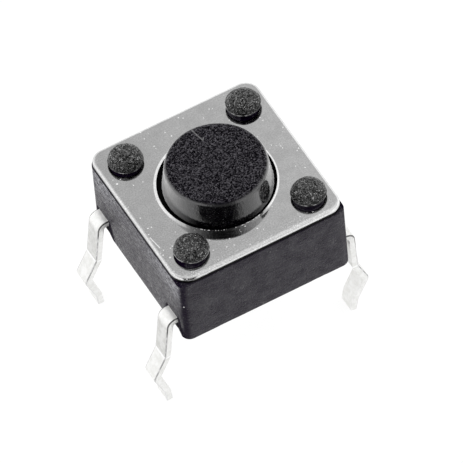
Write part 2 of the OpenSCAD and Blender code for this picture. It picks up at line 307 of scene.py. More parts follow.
class Nodes:
    """Adds nodes to a material or world. Places and widths are in millimetres."""

    def __init__(self, tree):
        self.tree = tree
        tree.nodes.clear()

    def add(self, kind, settings=None, **sockets):
        """A node with its sockets set or linked, by name, or by number after an underscore."""
        node = self.tree.nodes.new("ShaderNode" + kind)
        for name, value in (settings or {}).items():
            setattr(node, name, value)
        for name, value in sockets.items():
            key = int(name[1:]) if name[0] == "_" else name.replace("_", " ")
            if isinstance(value, bpy.types.NodeSocket):
                self.tree.links.new(value, node.inputs[key])
            else:
                node.inputs[key].default_value = value
        return node

    def maths(self, operation, *values):
        return self.add("Math", {"operation": operation}, **numbered(values)).outputs[0]

    def vector_maths(self, operation, *values):
        """A vector, or the number that a dot product, length or distance gives."""
        node = self.add("VectorMath", {"operation": operation}, **numbered(values))
        gives_number = operation in ("DOT_PRODUCT", "LENGTH", "DISTANCE")
        return node.outputs["Value" if gives_number else "Vector"]

    def scaled(self, vector, factor):
        node = self.add("VectorMath", {"operation": "SCALE"}, _0=vector, Scale=factor)
        return node.outputs["Vector"]

    def parts(self, vector):
        """The X, Y and Z of a vector."""
        return self.add("SeparateXYZ", Vector=vector).outputs

    def product(self, first, *others):
        for value in others:
            first = self.maths("MULTIPLY", first, value)
        return first

    def largest(self, first, *others):
        for value in others:
            first = self.maths("MAXIMUM", first, value)
        return first

    def off(self, value, middle):
        """How far a number is from another, whichever side it is on."""
        return self.maths("ABSOLUTE", self.maths("SUBTRACT", value, middle))

    def mapped(self, value, low, high, to_low=0.0, to_high=1.0, smooth=True):
        """Value from low..high mapped onto to_low..to_high, clamped."""
        kind = {"interpolation_type": "SMOOTHSTEP" if smooth else "LINEAR"}
        node = self.add("MapRange", kind, Value=value, From_Min=low, From_Max=high,
                        To_Min=to_low, To_Max=to_high)
        return node.outputs[0]

    def below(self, value, full, faded):
        """1 where a number is under the first limit, fading to 0 at the second, larger one."""
        return self.mapped(value, full, faded, 1.0, 0.0)

    def mix_value(self, factor, first, second):
        """Number mixed from first to second."""
        return self.add("Mix", {"data_type": "FLOAT"}, _0=factor, _2=first, _3=second).outputs[0]

    def mixed(self, factor, first, second):
        """Colour mixed from first to second."""
        return self.add("Mix", {"data_type": "RGBA"}, _0=factor, _6=first, _7=second).outputs[2]

    def stretched(self, place, stretch):
        """Place for a pattern that is longer along stretched axes."""
        if stretch == (1, 1, 1):
            return place
        return self.add("Mapping", Vector=place, Scale=tuple(1.0 / s for s in stretch)).outputs[0]

    def noise(self, place, size, detail=2.0, roughness=0.5, stretch=(1, 1, 1)):
        """Noise whose features are about size wide."""
        node = self.add("TexNoise", Vector=self.stretched(place, stretch), Scale=1 / size,
                        Detail=detail, Roughness=roughness)
        return node.outputs[0]

    def cells(self, place, spacing, stretch=(1, 1, 1)):
        """Grains about spacing wide: a random number in each, and the distance from its middle."""
        node = self.add("TexVoronoi", Vector=self.stretched(place, stretch), Scale=1 / spacing)
        drawn = self.add("SeparateColor", Color=node.outputs["Color"]).outputs[0]
        return drawn, node.outputs["Distance"]

    def specks(self, place, spacing, chance):
        """1 on round specks in some of the grains of a pattern: fewer as the chance nears 1."""
        drawn, distance = self.cells(place, spacing)
        return self.product(self.maths("GREATER_THAN", drawn, chance),
                            self.below(distance, 0.16, 0.27))

    def stroke(self, place, start, end, full, faded):
        """1 near a line between two points and 0 away from it, fading between two distances."""
        start, along = Vector(start), Vector(end) - Vector(start)
        reach = self.vector_maths("SUBTRACT", place, start)
        part = self.vector_maths("DOT_PRODUCT", reach, along / max(along.length_squared, 1e-12))
        part = self.add("Clamp", Value=part).outputs[0]
        foot = self.scaled(along, part)
        return self.below(self.vector_maths("DISTANCE", reach, foot), full, faded)

    def bump(self, height, depth, normal=None):
        """Normal of a relief whose height of 0..1 is depth deep."""
        links = {"Height": height, "Distance": depth * MM, "Strength": 1.0}
        if normal is not None:
            links["Normal"] = normal
        return self.add("Bump", **links).outputs[0]


def new_material(name):
    """A material, its nodes, and the place on its piece in millimetres."""
    material = bpy.data.materials.new(name)
    material.use_nodes = True
    nodes = Nodes(material.node_tree)
    return material, nodes, nodes.scaled(nodes.add("TexCoord").outputs["Object"], 1 / MM)


def finish_material(nodes, **sockets):
    shader = nodes.add("BsdfPrincipled", **sockets)
    nodes.add("OutputMaterial", Surface=shader.outputs[0])


def grey(level):
    return (level, level, level, 1.0)


# ---------- materials ----------

def painted_shade_below_leads(nodes, height, aside):
    """1 in the openings below the leads, and where the walls are rounded into them: the walls get
    painted shade there.
    """
    across = nodes.off(aside["Y"], ROW_Y)
    opening = nodes.product(nodes.below(height, 0.5, 0.6),
                            nodes.below(aside["X"], WALL - 0.02, WALL - 0.004),
                            nodes.mapped(aside["X"], WALL - 0.3, WALL - 0.2),
                            nodes.below(across, 0.54, 0.57))
    by_lead = nodes.add("CombineXYZ", X=aside["X"], Y=across, Z=height).outputs[0]
    rounded = nodes.stroke(by_lead, (WALL, STRIP_W / 2 + 0.04, 0.72),
                           (WALL, STRIP_W / 2 + LEAD_FLARE + 0.02, 0.0), 0.04, 0.2)
    return nodes.largest(opening, rounded)


def wall_plastic():
    """Black moulded nylon: smooth and cloudy with a little dust. The two walls that the leads
    leave are streaked and worn, most of all near the cover, where the pale wear is partly painted
    reflection. The corners are dull. The openings below the leads and a line under the cover
    get painted shade."""
    material, nodes, place = new_material("moulded_black_nylon")
    height = nodes.parts(place)["Z"]
    aside = nodes.parts(nodes.vector_maths("ABSOLUTE", place))
    corner = nodes.mapped(nodes.maths("MINIMUM", aside["X"], aside["Y"]), WALL - 0.24, WALL - 0.11)
    flank = nodes.mapped(nodes.maths("SUBTRACT", aside["X"], aside["Y"]), 0.0, 0.1)
    # Painted shadow: a dark line along the top of the flanks, just under the cover.
    painted_shadow_under_cover = nodes.product(flank, nodes.mapped(height, BODY_H - 0.1, BODY_H - 0.07))

    clouds = nodes.noise(place, 0.6, detail=4, roughness=0.6)
    streaks = nodes.noise(place, 0.06, detail=3, roughness=0.65, stretch=(4, 4, 1))
    mottle = nodes.noise(place, 0.09, detail=4, roughness=0.75)
    grain = nodes.noise(place, 0.045, detail=2)
    worn = nodes.product(nodes.maths("ADD", mottle, streaks), 0.5)
    worn = nodes.mix_value(0.3, worn, nodes.cells(place, 0.05, (2, 2, 1))[0])

    dust = nodes.product(nodes.mapped(grain, 0.58, 0.7), nodes.mapped(clouds, 0.42, 0.62))
    speck = nodes.stroke(place, SPECK_AT, SPECK_AT, 0.015, 0.03)
    # Pale wear and dust, higher up and towards the ends of the flanks: partly painted reflection.
    wear_and_painted_reflection = nodes.product(nodes.mapped(height, 1.4, 2.6),
                           nodes.mapped(aside["Y"], 0.2, 2.7, 0.3, 1.0),
                           nodes.mapped(worn, 0.3, 0.72), nodes.mix_value(corner, flank, 0.0))
    wear_and_painted_reflection = nodes.mix_value(painted_shadow_under_cover, wear_and_painted_reflection, 0.0)
    colour = nodes.mixed(nodes.mapped(clouds, 0.35, 0.65), (0.0055, 0.002, 0.0105, 1),
                         (0.0085, 0.005, 0.0145, 1))
    colour = nodes.mixed(dust, colour, grey(0.09))
    colour = nodes.mixed(speck, colour, grey(0.9))
    colour = nodes.mixed(wear_and_painted_reflection, colour, (0.28, 0.28, 0.31, 1))

    rough = nodes.maths("ADD", nodes.mapped(clouds, 0.35, 0.65, 0.22, 0.34),
                        nodes.mapped(streaks, 0.4, 0.65, 0.0, 0.14))
    shine = nodes.mix_value(flank, nodes.mapped(clouds, 0.36, 0.64, 1.28, 1.395),
                            nodes.mapped(worn, 0.34, 0.66, 1.24, 1.66))
    shine = nodes.mix_value(corner, shine, 1.12)
    # Painted shade: the walls hardly reflect in the openings below the leads, and in a line under the
    # cover.
    painted_wall_shade = nodes.largest(painted_shade_below_leads(nodes, height, aside), painted_shadow_under_cover)
    shine = nodes.mix_value(painted_wall_shade, shine, 1.02)
    # The two walls that the leads leave are lumpier.
    lumps = nodes.product(mottle, nodes.mapped(flank, 0.0, 1.0, 0.55, 1.0))
    normal = nodes.bump(grain, 0.008, nodes.bump(lumps, 0.036, nodes.bump(streaks, 0.01)))
    finish_material(nodes, Base_Color=colour, Roughness=rough, Normal=normal, IOR=shine)
    return material


def melted_plastic():
    """The same nylon where it was melted into heads: coarsely grained, with painted shade in the
    hollows of the grain, and pale flecks that are painted glints."""
    material, nodes, place = new_material("melted_black_nylon")
    coarse = nodes.noise(place, 0.07, detail=3, roughness=0.75)
    fine = nodes.noise(place, 0.04, detail=2, roughness=0.7)
    grains = nodes.cells(place, 0.034)[0]
    # Painted glints: pale flecks in some grains, where the grain would catch the light.
    painted_glint_flecks = nodes.product(nodes.mapped(grains, 0.8, 1.0), nodes.mapped(fine, 0.4, 0.6))
    # Painted shade: the hollows of the coarse relief are darker and, in the shine below, reflect
    # less.
    colour = nodes.mixed(nodes.mapped(coarse, 0.35, 0.65), grey(0.001), grey(0.014))
    colour = nodes.mixed(painted_glint_flecks, colour, grey(0.36))
    shine = nodes.mapped(nodes.mix_value(0.55, coarse, grains), 0.25, 0.75, 1.15, 1.95)
    normal = nodes.bump(fine, 0.03, nodes.bump(coarse, 0.04))
    finish_material(nodes, Base_Color=colour, Roughness=0.22, Normal=normal, IOR=shine)
    return material


def flash_painted_highlight():
    """Thin flash squeezed out round the foot of a head, with pale patches of painted highlight on its
    rounded rim.
    """
    material, nodes, place = new_material("nylon_flash_painted_highlight")
    patches = nodes.noise(place, 0.2, detail=3)
    colour = nodes.mixed(nodes.mapped(patches, 0.42, 0.6), grey(0.02), grey(0.3))
    finish_material(nodes, Base_Color=colour, Roughness=0.35, Normal=nodes.bump(patches, 0.006))
    return material


def button_plastic():
    """Black nylon from a sparked mould: a fine speckle and one scratch on top, smooth and glossy
    sides with a torn gate mark, dusty to the left and right, and a matt flange that hardly
    reflects, as painted shade."""
    material, nodes, place = new_material("button_black_nylon")
    height = nodes.parts(place)["Z"]
    on_top = nodes.mapped(height, STEM_TOP - 0.09, STEM_TOP - 0.01)
    on_flange = nodes.below(height, PLATE_TOP - 0.1, PLATE_TOP - 0.05)
    gate_at = ((STEM_R - 0.03) * cos(GATE_ANGLE), (STEM_R - 0.03) * sin(GATE_ANGLE))
    on_gate = nodes.stroke(place, (*gate_at, GATE_Z - 0.12), (*gate_at, GATE_Z + 0.12), 0.27, 0.33)
    # Painted shade: the flange is made matt and hardly reflecting, to darken the gap round the
    # button; the gate mark is matt.
    matt = nodes.largest(on_flange, on_gate)
    on_side = nodes.maths("SUBTRACT", 1.0, nodes.largest(on_top, matt))

    speckle = nodes.noise(place, 0.042, detail=2, roughness=0.7)
    fine = nodes.noise(place, 0.04, detail=2, roughness=0.7)
    streaks = nodes.noise(place, 0.06, detail=3, roughness=0.6, stretch=(1, 1, 3))
    # The pits are painted as shade: darker and less shiny than the land between them.
    pitted = nodes.maths("POWER", nodes.cells(place, 0.034)[0], 2.0)
    land = nodes.mapped(nodes.mix_value(0.3, pitted, speckle), 0.15, 0.85, smooth=False)

    start, turn, end = ring_of(BUTTON_SCRATCH, STEM_TOP)
    scratch = nodes.largest(nodes.stroke(place, start, turn, 0.0, 0.03),
                            nodes.stroke(place, turn, end, 0.0, 0.035))
    torn = nodes.product(on_gate, nodes.mapped(fine, 0.54, 0.62))
    dust = nodes.product(on_side, nodes.mapped(fine, 0.64, 0.7))
    colour = nodes.mixed(nodes.product(land, on_top), (0.0004, 0.0002, 0.001, 1),
                         (0.012, 0.008, 0.019, 1))
    colour = nodes.mixed(scratch, colour, grey(0.15))
    colour = nodes.mixed(torn, colour, grey(0.3))
    colour = nodes.mixed(dust, colour, grey(0.1))

    sideways = Vector((cos(DUSTY_ANGLE), sin(DUSTY_ANGLE), 0))
    sideways = nodes.maths("ABSOLUTE", nodes.vector_maths("DOT_PRODUCT", place, sideways))
    sheen = nodes.product(nodes.mapped(sideways, 0.75, 1.5), on_side)
    rough = nodes.mix_value(on_top, nodes.mix_value(matt, 0.09, 0.6), 0.26)
    shine = nodes.mix_value(on_top, nodes.mix_value(matt, 1.9, 1.15),
                            nodes.mapped(land, 0.0, 1.0, 1.04, 1.74, smooth=False))
    normal = nodes.bump(nodes.product(streaks, on_side), 0.01)
    normal = nodes.bump(nodes.product(speckle, on_top), 0.02, normal)
    normal = nodes.bump(nodes.product(fine, on_gate), 0.03, normal)
    finish_material(nodes, Base_Color=colour, Roughness=rough, Normal=normal, IOR=shine,
                    Sheen_Weight=sheen, Sheen_Roughness=0.5)
    return material


def cover_steel():
    """Bright rolled stainless sheet: fine grain, slight haze, a scratch, specks of dust that
    gather in places, pale grain along the front, and painted glints of tiny burrs on the front
    of the button's hole."""
    material, nodes, place = new_material("bright_steel")
    parts = nodes.parts(place)
    clouds = nodes.noise(place, 1.2, detail=2)
    grain = nodes.noise(place, 0.05, detail=3, roughness=0.75)
    blotches = nodes.noise(place, 0.35, detail=3)
    # Painted light: the sheet is darker towards -X and lighter towards +X.
    across = nodes.mapped(parts["X"], -3, 3, smooth=False)
    colour = nodes.mixed(nodes.mapped(grain, 0.3, 0.7), nodes.mixed(across, grey(0.50), grey(0.59)),
                         nodes.mixed(across, grey(0.70), grey(0.80)))
    colour = nodes.mixed(nodes.mapped(blotches, 0.35, 0.7, 0.0, 0.35), colour, grey(0.48))

    chance = nodes.mapped(nodes.noise(place, 0.6, detail=1), 0.48, 0.66, 0.97, 0.66)
    specks = nodes.largest(nodes.specks(place, 0.11, chance), nodes.specks(place, 0.17, 0.965))
    from_hole = nodes.vector_maths("DISTANCE", place, Vector((*HOLE_SHIFT, PLATE_TOP)))
    # Painted glints: white specks on the front of the hole's crest, where tiny burrs would catch the
    # light.
    painted_burr_glints = nodes.product(nodes.below(nodes.off(from_hole, HOLE_R + 0.01), 0.012, 0.03),
                          nodes.below(parts["Y"], -1.4, -1.25),
                          nodes.mapped(nodes.noise(place, 0.06, detail=0), 0.56, 0.62))
    pale_front_grain = nodes.product(nodes.below(parts["Y"], 0.15 - PLATE_HALF[1], 0.6 - PLATE_HALF[1]),
                         nodes.mapped(grain, 0.52, 0.62),
                         nodes.mapped(blotches, 0.4, 0.6, 0.15, 0.9))
    scratch = nodes.stroke(place, *COVER_SCRATCH, 0.0, 0.03)
    bright = nodes.largest(specks, scratch, painted_burr_glints, pale_front_grain)
    colour = nodes.mixed(bright, colour, grey(0.92))
    metal = nodes.mix_value(bright, 1.0, 0.25)
    rough = nodes.maths("ADD", nodes.mapped(clouds, 0.3, 0.7, 0.05, 0.08),
                        nodes.mapped(grain, 0.5, 0.7, 0.0, 0.03))
    finish_material(nodes, Base_Color=colour, Metallic=metal, Roughness=rough,
                    Normal=nodes.bump(grain, 0.0003))
    return material


def sheared_steel_painted_shadow():
    """The plate's edge where the punch tore through it: rough, and painted near black as the shadow
    line under the plate.
    """
    material, nodes, place = new_material("sheared_steel_painted_shadow")
    torn = nodes.noise(place, 0.03, detail=2, stretch=(1, 1, 4))
    colour = nodes.mixed(torn, grey(0.003), grey(0.03))
    finish_material(nodes, Base_Color=colour, Metallic=1.0, Roughness=0.6,
                    Normal=nodes.bump(torn, 0.004))
    return material


def dome_steel():
    """Bright spring steel, with the lines of its rolling along X."""
    material, nodes, place = new_material("spring_steel")
    rolled = nodes.noise(place, 0.04, detail=2, stretch=(12, 1, 1))
    colour = nodes.mixed(rolled, grey(0.55), grey(0.7))
    rough = nodes.mapped(rolled, 0.3, 0.7, 0.16, 0.28)
    finish_material(nodes, Base_Color=colour, Metallic=1.0, Roughness=rough,
                    Normal=nodes.bump(rolled, 0.0005))
    return material


def tin_plating():
    """Matt tin on brass strip: pale, with a soft grain. The faces above the kinks are darker with
    painted shade, the first kink has a painted highlight line, and the strip is whiter, less like
    metal, where it comes out."""
    material, nodes, place = new_material("tin_plating")
    parts = nodes.parts(place)
    off_row = nodes.maths("SUBTRACT", nodes.maths("ABSOLUTE", parts["Y"]), ROW_Y)
    on_face = nodes.below(nodes.maths("ABSOLUTE", off_row), 0.30, 0.315)
    # Painted shade: the faces are darker between the body and the first kink.
    painted_shade_above_kink = nodes.product(nodes.mapped(parts["Z"], -0.98, -0.90),
                         nodes.below(parts["Z"], 0.35, 0.6), on_face)
    # Painted highlight: a bright line along the first kink.
    fold = nodes.below(nodes.off(parts["Z"], KINK_LEVELS[0]), 0.02, 0.05)
    clouds = nodes.noise(place, 0.2, detail=4, roughness=0.65)
    grain = nodes.noise(place, 0.03, detail=2)
    patches = nodes.mapped(clouds, 0.35, 0.65)
    colour = nodes.mixed(patches, (0.80, 0.80, 0.78, 1), (0.90, 0.90, 0.89, 1))
    painted_tin_shade_colour = nodes.mixed(patches, (0.62, 0.62, 0.60, 1), (0.76, 0.76, 0.75, 1))
    colour = nodes.mixed(painted_shade_above_kink, colour, painted_tin_shade_colour)
    colour = nodes.mixed(fold, colour, grey(0.97))
    rough = nodes.mapped(grain, 0.3, 0.7, 0.36, 0.5)
    metal = nodes.mapped(parts["Z"], 0.45, 0.6, 1.0, 0.4)
    finish_material(nodes, Base_Color=colour, Metallic=metal, Roughness=rough,
                    Normal=nodes.bump(grain, 0.0012, nodes.bump(clouds, 0.004)))
    return material


def tin_edge():
    """The sheared corner of the strip, darker than its faces: darkest on the top fold, which is
    painted shade under the bend, and palest below the second kink."""
    material, nodes, place = new_material("sheared_tin_edge_painted_shade")
    worn = nodes.noise(place, 0.2, detail=3)
    height = nodes.parts(place)["Z"]
    colour = nodes.mixed(nodes.mapped(worn, 0.35, 0.6), grey(0.7), grey(0.4))
    # Painted shade: the edge is darkest on the top fold.
    colour = nodes.mixed(nodes.mapped(height, 0.0, 0.35), colour, grey(0.15))
    colour = nodes.mixed(nodes.below(height, -1.9, -1.8), colour, grey(0.75))
    finish_material(nodes, Base_Color=colour, Metallic=1.0, Roughness=0.4,
                    Normal=nodes.bump(worn, 0.003))
    return material


# ---------- terminals ----------

def lead_profile(splay):
    """Outer face of a lead from the middle of the body to its tip: (x, z, heading) with the
    heading in radians below the horizontal."""
    levels = (STRIP_TOP, *KINK_LEVELS)
    slopes = [splay + s for s in KINK_SLOPES]
    turns = [90 - slopes[0]] + [a - b for a, b in zip(slopes, slopes[1:])]
    inside = (FOLD_R, KINK_R, KINK_R, KINK_R)
    # The outer face turns on the strip's outside where it folds down, on its inside where up.
    radii = [r + (STRIP_T if turn > 0 else 0) for r, turn in zip(inside, turns)]
    setbacks = [r * tan(radians(abs(turn)) / 2) for r, turn in zip(radii, turns)] + [0]
    x, z, heading = BEND_X, STRIP_TOP, 0.0
    points = [(0.0, z, 0.0), (WALL - 0.2, z, 0.0), (x, z, 0.0)]
    for i, turn in enumerate(turns):
        step = radians(turn) / BEND_STEPS
        chord = 2 * radii[i] * sin(abs(step) / 2)
        for _ in range(BEND_STEPS):
            x += chord * cos(heading + step / 2)
            z -= chord * sin(heading + step / 2)
            heading += step
            points.append((x, z, heading))
        run = (levels[i] - levels[i + 1]) / cos(radians(slopes[i])) - setbacks[i] - setbacks[i + 1]
        for _ in range(RUN_STEPS):
            x += run / RUN_STEPS * cos(heading)
            z -= run / RUN_STEPS * sin(heading)
            points.append((x, z, heading))
    return points


def strip_section():
    """Outline of the strip across its length: (across, depth below the outer face). Points 0 to 3
    and 12 to 15 round the corners of the outer face."""
    half, e = STRIP_W / 2, STRIP_EDGE
    corners = [((half - e, e), -90), ((half - e, STRIP_T - e), 0),
               ((e - half, STRIP_T - e), 90), ((e - half, e), 180)]
    points = []
    for centre, start in corners:
        points += arc(centre, e, start, start + 90, 3)
    return points


def ribbon(bm, row_y):
    """The strip from the tip of one lead, through the body, to the tip of the other."""
    path = [(-x, z, -h) for x, z, h in reversed(lead_profile(SPLAY[-1])[1:])]
    path += lead_profile(SPLAY[1])
    section = strip_section()
    rings = []
    for x, z, heading in path:
        out = (sin(heading), cos(heading))
        rings.append([(x - d * out[0], row_y + across, z - d * out[1]) for across, d in section])
    made = loft(bm, rings)
    for low, high in zip(made, made[1:]):
        for k in (0, 1, 2, 12, 13, 14):
            edge = {low[k], low[k + 1], high[k], high[k + 1]}
            for face in low[k].link_faces:
                if set(face.verts) == edge:
                    face.material_index = 1


def stadium(bm, start, end, width, z_low, z_high):
    """Prism between two levels whose plan is a bar with a round far end."""
    angle = atan2(end[1] - start[1], end[0] - start[0])
    across = (-sin(angle) * width / 2, cos(angle) * width / 2)
    tip = arc(end, width / 2, -90, 90, 24)
    turn = [(end[0] + (x - end[0]) * cos(angle) - (y - end[1]) * sin(angle),
             end[1] + (x - end[0]) * sin(angle) + (y - end[1]) * cos(angle)) for x, y in tip]
    plan = [(start[0] - across[0], start[1] - across[1]), *turn,
            (start[0] + across[0], start[1] + across[1])]
    loft(bm, [ring_of(plan, z_low), ring_of(plan, z_high)])


def contact(bm, x, y, radius):
    """Raised contact with a rounded edge."""
    edge = 0.03
    rim = arc((radius - edge, CONTACT_TOP - edge), edge, 0, 90, 4)
    foot = STRIP_TOP - STRIP_T / 2
    lathe(bm, [(0, foot), (radius, foot), *rim, (0, CONTACT_TOP)], (x, y), 48)


def terminal(name, row_y, bars, contacts, materials):
    """A strip with the bars that reach in under the dome, and the contacts on them."""
    bm = bmesh.new()
    ribbon(bm, row_y)
    piece = draft(name, bm, materials)
    for start, end, width in bars:
        bm = bmesh.new()
        stadium(bm, start, end, width, STRIP_TOP - STRIP_T, STRIP_TOP)
        combine(piece, draft("bar", bm, materials), "UNION")
    for x, y, radius in contacts:
        bm = bmesh.new()
        contact(bm, x, y, radius)
        combine(piece, draft("contact", bm, materials), "UNION")
    return piece


def make_terminals():
    """The strip that the dome's lip rests on, and the strip under its middle."""
    materials = (tin_plating(), tin_edge())
    point_x = CONTACT_RING_R * cos(CONTACT_ANGLE)
    point_y = CONTACT_RING_R * sin(CONTACT_ANGLE)
    arms = [((s * point_x, -ROW_Y), (s * point_x, point_y), ARM_W) for s in (-1, 1)]
    points = [(sx * point_x, sy * point_y, CONTACT_R) for sx, sy in CORNERS]
    outer = terminal("terminal_outer_strip", -ROW_Y, arms, points, materials)
    centre = terminal("terminal_centre_strip", ROW_Y, [((0, ROW_Y), (0, 0), TONGUE_W)],
                      [(0, 0, CENTRE_R)], materials)
    return outer, centre


# ---------- base ----------

# Its material slots
WALL_LOOK, MELTED_LOOK, FLASH_HIGHLIGHT_LOOK = range(3)


def wall_rings():
    """Outlines of the body from its foot to its top, with rounded edges and a slightly uneven
    foot, as moulded nylon has."""
    outline, inner = [rounded_outline((WALL, WALL), (BODY_CORNER_R,) * 4, inset=inset)
                      for inset in (0, INSET)]
    ways_out = outward(outline, inner)
    turns = [pi / 8 * i for i in range(5)]
    foot = [(BODY_EDGE_R * (1 - sin(a)), BODY_EDGE_R * (1 - cos(a)), 0) for a in turns]
    walls = [(0, z, 0) for z in (0.2, 0.5, 1.0, 1.6, 2.2)]
    top = [(1 - cos(a), BODY_H, 1 - sin(a)) for a in turns]
    rings = []
    for inset, level, fall in foot + walls + top:
        ring = []
        for (x, y), (out_x, out_y) in zip(outline, ways_out):
            edge = BODY_EDGE_R + BODY_FLANK_EDGE_R * out_x ** 2
            step = inset * edge if level == BODY_H else inset
            uneven = noise.noise(Vector((x * 1.3, y * 1.3, 0.5)))
            uneven += noise.noise(Vector((x * 4, y * 4, 7.5))) / 2
            rise = FOOT_UNEVEN * max(0.0, uneven) * exp(-level / FOOT_UNEVEN_H)
            ring.append((x - out_x * step, y - out_y * step, level + rise - fall * edge))
        rings.append(ring)
    return rings


def relief_cutter(side, row_y):
    """What the mould leaves open below a lead: shallower sideways, wider towards the foot."""
    top_w = STRIP_W / 2
    foot_w = top_w + LEAD_FLARE
    beyond = 0.05
    rings = []
    for z, half in ((-beyond, foot_w), (STRIP_TOP - STRIP_T, top_w)):
        depth = LEAD_RELIEF * (foot_w - half) / (foot_w - top_w / 2)
        plan = [(beyond, -half), (-depth, -half), (-LEAD_RELIEF, -top_w / 2),
                (-LEAD_RELIEF, top_w / 2), (-depth, half), (beyond, half)]
        rings.append([(side * (WALL + x), row_y + y, z) for x, y in plan])
    bm = bmesh.new()
    loft(bm, rings)
    return draft("relief", bm)


def head_profile(rim_h):
    """Post, short neck, thin rim and round shoulder of a melted head."""
    rim_z = PLATE_TOP + rim_h
    shoulder = HEAD_SHOULDER_R
    shoulder_z = HEAD_TOP - HEAD_CROWN_H - shoulder
    profile = [(0, BODY_H - POST_ROOT), (POST_R, BODY_H - POST_ROOT),
               (POST_R, PLATE_TOP - NECK_STEP), (NECK_R, PLATE_TOP + NECK_STEP), (NECK_R, rim_z)]
    profile += arc((HEAD_R - HEAD_LIP / 2, rim_z + HEAD_LIP / 2), HEAD_LIP / 2, -90, 90, 6)
    profile += arc((HEAD_R - HEAD_SET_IN - shoulder, shoulder_z), shoulder, 0, 90, 16)
    flat_r, flat_z = profile[-1]
    for i in range(1, 9):
        r = flat_r * (1 - i / 8)
        profile.append((r, flat_z + HEAD_CROWN_H * (1 - (r / flat_r) ** 2)))
    return profile


def add_heads(base, materials):
    """Joins the four posts and heads to the body, each head lumpy and off its post."""
    for (sx, sy), (slip_x, slip_y, rim_h) in HEAD_SLIPS.items():
        rim_z = PLATE_TOP + rim_h
        bm = bmesh.new()
        lathe(bm, head_profile(rim_h), steps=96, material=MELTED_LOOK)
        for face in bm.faces:
            middle = face.calc_center_median().z
            if middle < rim_z - 0.001:
                face.material_index = WALL_LOOK
            elif middle < rim_z + HEAD_LIP * 0.98:
                face.material_index = FLASH_HIGHLIGHT_LOOK
        for vertex in bm.verts:
            x, y, z = vertex.co
            slip = min(1.0, max(0.0, (z - PLATE_TOP + NECK_STEP) / (3 * NECK_STEP)))
            if z > rim_z + HEAD_LIP:
                spot = Vector((x + 3 * sx, y + 3 * sy, z))
                lumps = noise.noise(spot * 5) * 0.02 + noise.noise(spot * 16) * 0.008
                vertex.co += Vector((x, y, 0.2)) * lumps
            vertex.co.x += sx * POST_OFF + slip_x * slip
            vertex.co.y += sy * POST_OFF + slip_y * slip
        combine(base, draft("head", bm, materials), "UNION")


def make_base(terminals):
    """Square body with a well for the dome, moulded round the two strips."""
    materials = (wall_plastic(), melted_plastic(), flash_painted_highlight())
    bm = bmesh.new()
    loft(bm, wall_rings())
    base = draft("base_moulding", bm, materials)
    bm = bmesh.new()
    ledge_z = STRIP_TOP + WELL_DEPTH
    lathe(bm, [(0, STRIP_TOP), (WELL_R, STRIP_TOP), (WELL_R, ledge_z), (CHAMBER_R, ledge_z),
               (CHAMBER_R, BODY_H + 1), (0, BODY_H + 1)])
    combine(base, draft("chamber", bm), "DIFFERENCE")
    for sx, sy in CORNERS:
        bm = bmesh.new()
        lathe(bm, [(0, -0.1), (EJECTOR_R, -0.1), (EJECTOR_R, EJECTOR_DEPTH), (0, EJECTOR_DEPTH)],
              (sx * EJECTOR_OFF, sy * EJECTOR_OFF), 64)
        combine(base, draft("ejector", bm), "DIFFERENCE")
        combine(base, relief_cutter(sx, sy * ROW_Y), "DIFFERENCE")
    for strip in terminals:
        combine(base, strip, "DIFFERENCE", keep_other=True)
    add_heads(base, materials)
    finish_piece(base, "housing", "base")


# ---------- cover plate ----------

def lip_here(angle):
    """Width and relative height of the hole's lip in a direction, from the list of sizes."""
    start = HOLE_LIP[0][0]
    degrees = start + (angle * 180 / pi - start) % 360
    for (low, *first), (high, *last) in zip(HOLE_LIP, HOLE_LIP[1:]):
        if degrees <= high:
            part = (degrees - low) / (high - low)
            part = part * part * (3 - 2 * part)
            return [a + (b - a) * part for a, b in zip(first, last)]


def lip_rings():
    """Edge of the button's hole, from the underside up its wall and down the lip's flank."""
    steps = 240
    turns = [2 * pi * i / steps for i in range(steps)]
    sizes = [lip_here(a) for a in turns]
    rise = HOLE_LIP_TOP - PLATE_TOP
    rings = [ring_of(circle(HOLE_R, HOLE_SHIFT, steps), z) for z in (BODY_H, PLATE_TOP - 0.02)]
    for across in (0, 0.2, 0.4, 0.6, 0.8, 0.9, 1.0, 1.2):
        # The flank falls evenly and runs out softly at its foot.
        drop = min(1.0, 1.1 * across) if across < 0.8 else 1 - 3 * max(0.0, 1 - across) ** 2
        rings.append([(HOLE_SHIFT[0] + (HOLE_R + w * across) * cos(a),
                       HOLE_SHIFT[1] + (HOLE_R + w * across) * sin(a),
                       PLATE_TOP + rise * part * (1 - drop)) for a, (w, part) in zip(turns, sizes)])
    return rings


def plate_outline(inset):
    """Outline of the plate, which sits a little off the middle of the body."""
    return rounded_outline(PLATE_HALF, PLATE_CORNER_R, PLATE_SHIFT, inset, 12, 40)


def edge_rings():
    """Outer edges of the plate, from the underside up the sheared face and over the rolled edge,
    which some sides slope down to."""
    edge = plate_outline(0)
    ways_out = outward(edge, plate_outline(INSET))
    right, left, back, front = SLOPE_WIDTHS
    widths = [out_x ** 2 * (right if out_x > 0 else left)
              + out_y ** 2 * (back if out_y > 0 else front) + SLOPE_LEAST
              for out_x, out_y in ways_out]
    rings = [ring_of(plate_outline(UNDER_EDGE), BODY_H), ring_of(edge, BODY_H + UNDER_EDGE)]
    # How far in and down the rolled edge is at each step, and how much of the slope is passed
    turns = [pi / 2 * i / 10 for i in range(11)]
    steps = [(ROLL_R * (1 - cos(a)), ROLL_R * (1 - sin(a)), 0) for a in turns]
    steps += [(ROLL_R, 0, i / 5) for i in range(1, 7)]
    for inset, fall, passed in steps:
        ring = []
        for (x, y), (out_x, out_y), width in zip(edge, ways_out, widths):
            inside = inset + width * passed
            below = fall + SLOPE * width / 2 * max(0.0, 1 - passed) ** 2
            ring.append((x - out_x * inside, y - out_y * inside, PLATE_TOP - below))
        rings.append(ring)
    return rings


